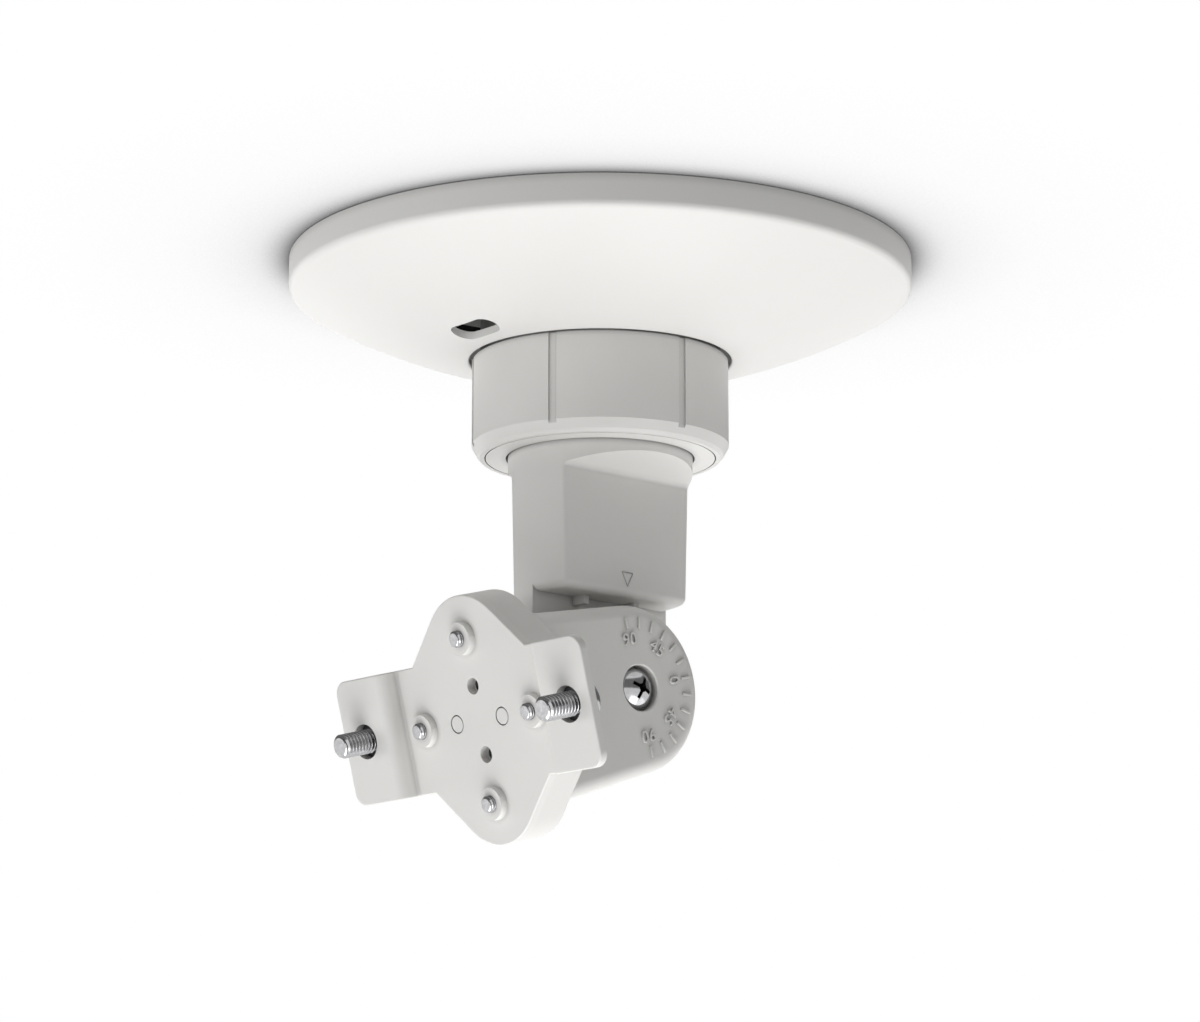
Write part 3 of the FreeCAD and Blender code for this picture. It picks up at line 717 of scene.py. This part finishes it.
def seenRays(tree):       # 1 for what the camera sees directly, in metal or through glass
    rays = tree.node("ShaderNodeLightPath", out="Is Camera Ray")
    glossy = tree.node("ShaderNodeLightPath", out="Is Glossy Ray")
    through = tree.node("ShaderNodeLightPath", out="Is Transmission Ray")
    return rays.most(glossy).most(through)


def seenFromBelow(tree, shader):       # clear from above
    clear = tree.node("ShaderNodeBsdfTransparent")
    above = tree.node("ShaderNodeNewGeometry", out="Backfacing")
    shown = tree.node("ShaderNodeMixShader", None, {0: above, 1: shader, 2: clear})
    tree.node("ShaderNodeOutputMaterial", None, {"Surface": shown})


def ceilingFinish(look):       # white where it is seen, with the object's soft shadow close to it
    material, tree, place = startMaterial("ceilingPaint")
    roll = noise(tree, place, look["rollScale"])
    tint = mixColour(tree, roll, look["dark"], look["light"])
    paint = tree.node("ShaderNodeBsdfDiffuse", None, {"Color": tint})
    reach = {"Distance": look["shadowReach"]}
    near = tree.node("ShaderNodeAmbientOcclusion", {"samples": look["shadowSamples"]}, reach, out="AO")
    shade = tree.node("ShaderNodeValToRGB", {"stops": look["shadow"]}, {"Fac": near})
    glow = tree.node("ShaderNodeEmission", None, {"Color": shade, "Strength": 1.0})
    seenFromBelow(tree, tree.node("ShaderNodeMixShader", None, {0: seenRays(tree), 1: paint, 2: glow}))
    return material


def addStage(name, shape, finish):
    shape.materials.append(finish)
    item = bpy.data.objects.new(name, shape)
    bpy.context.scene.collection.objects.link(item)
    return item


stageLook = {"dark": (0.28, 0.28, 0.28), "light": (0.30, 0.30, 0.30), "rollScale": 30.0,
             "shadowReach": 80 * mm, "shadowSamples": 8,
             "shadow": [(0.45, 0.1), (0.7, 0.52), (0.9, 0.87), (1.0, 1.0)]}
ceiling = meshFrom(buildRing, stageSize["opening"], stageSize["reach"], stageSize["height"])
addStage("ceiling", ceiling, ceilingFinish(stageLook))


# Dark sheets facing down that light nothing and cast no shadow: one under the ceiling paints dark reflections into
# metal, one over the canopy's open back is painted shade seen through the cable slot

darkNoiseScale = 300.0
flags = {"flagBelow": {"inner": 110 * mm, "outer": 1.4, "height": -12 * mm, "seen": False,
                       "dark": (0.16, 0.16, 0.16), "light": (0.22, 0.22, 0.22)},
         "flagAbove": {"inner": 57 * mm, "outer": 78 * mm, "height": 0.4 * mm, "seen": True,
                       "dark": (0.02, 0.02, 0.02), "light": (0.05, 0.05, 0.05)}}


# painted dark, for painted reflections and painted shade
def paintedDarkFinish(name, look):
    material, tree, place = startMaterial(name + "Cloth")
    darkNoise = noise(tree, place, darkNoiseScale)
    tint = mixColour(tree, darkNoise, look["dark"], look["light"])
    seenFromBelow(tree, tree.node("ShaderNodeBsdfDiffuse", None, {"Color": tint}))
    return material


for flagName, flagSize in flags.items():
    flagShape = meshFrom(buildRing, flagSize["inner"], flagSize["outer"], flagSize["height"])
    flag = addStage(flagName, flagShape, paintedDarkFinish(flagName, flagSize))
    flag.visible_camera = flagSize["seen"]       # the one over the back is seen through the cable slot, as painted shade
    flag.visible_diffuse = False
    flag.visible_shadow = False
    flag.visible_transmission = False


def addLamp(name, power, size, spot, target):
    lamp = bpy.data.lights.new(name, "AREA")
    lamp.energy = power
    lamp.size = size
    item = bpy.data.objects.new(name, lamp)
    item.location = spot
    item.rotation_euler = (Vector(target) - Vector(spot)).to_track_quat("-Z", "Y").to_euler()
    item.visible_camera = False
    bpy.context.scene.collection.objects.link(item)


lamps = {"lampBelow": {"power": 15.2, "size": 1.2, "spot": (0.0, 0.0, -1.4)},
         "lampRight": {"power": 4.1, "size": 0.9, "spot": (0.9, 0.1, -1.1)},
         "lampLeft": {"power": 2.9, "size": 0.9, "spot": (-0.6, -1.3, -0.35)},
         "lampLow": {"power": 1.6, "size": 0.5, "spot": (0.1, -0.5, -0.7)},
         "lampBack": {"power": 1.6, "size": 0.9, "spot": (0.5, 0.9, -1.0)}}
lampTarget = (0.0, -0.01, -0.08)
for lampName, lampSet in lamps.items():
    addLamp(lampName, lampSet["power"], lampSet["size"], lampSet["spot"], lampTarget)

worldSet = {"above": 0.2, "walls": 5.0, "narrow": 8.0, "lean": 0.8}       # glow from the walls
world = bpy.data.worlds.new("studio")
world.use_nodes = True
world.node_tree.nodes.clear()
sky = Wire(world.node_tree)
direction = sky.node("ShaderNodeTexCoord", out="Generated")
height = sky.node("ShaderNodeSeparateXYZ", None, {"Vector": direction}, out="Z")
upper = sky.node("ShaderNodeMath", {"operation": "GREATER_THAN"}, {0: height, 1: 0.0})
aside = sky.node("ShaderNodeMath", {"operation": "ABSOLUTE"}, {0: height})
walls = (1.0 - aside * worldSet["narrow"]).most(0.0)
aslant = sky.node("ShaderNodeSeparateXYZ", None, {"Vector": direction}, out="X")
walls = walls * (1.0 - aslant * worldSet["lean"]) * (1.0 - upper)       # weaker from +X, none from above
level = upper * worldSet["above"] + walls * worldSet["walls"]
ambient = sky.node("ShaderNodeBackground", None, {"Color": (1, 1, 1, 1), "Strength": level})
backdrop = sky.node("ShaderNodeBackground", None, {"Color": (1, 1, 1, 1), "Strength": 1.0})
wrapped = sky.node("ShaderNodeMixShader", None, {0: seenRays(sky), 1: ambient, 2: backdrop})
sky.node("ShaderNodeOutputWorld", None, {"Surface": wrapped})
bpy.context.scene.world = world

cameraSet = {"lens": 114.93, "sensor": 36.0, "spot": (0.6926, -0.6176, -0.2664),
             "right": (0.6655, 0.7464, 0.0), "up": (0.1597, -0.1424, 0.9769)}
lens = bpy.data.cameras.new("camera")
lens.lens = cameraSet["lens"]
lens.sensor_width = cameraSet["sensor"]
eye = bpy.data.objects.new("camera", lens)
right = Vector(cameraSet["right"]).normalized()
upwards = Vector(cameraSet["up"]).normalized()
facing = Matrix((right, upwards, right.cross(upwards))).transposed().to_4x4()
eye.matrix_world = Matrix.Translation(cameraSet["spot"]) @ facing
bpy.context.scene.collection.objects.link(eye)
bpy.context.scene.camera = eye
bpy.context.scene.view_settings.view_transform = "Standard"
print("stage, light and camera set")
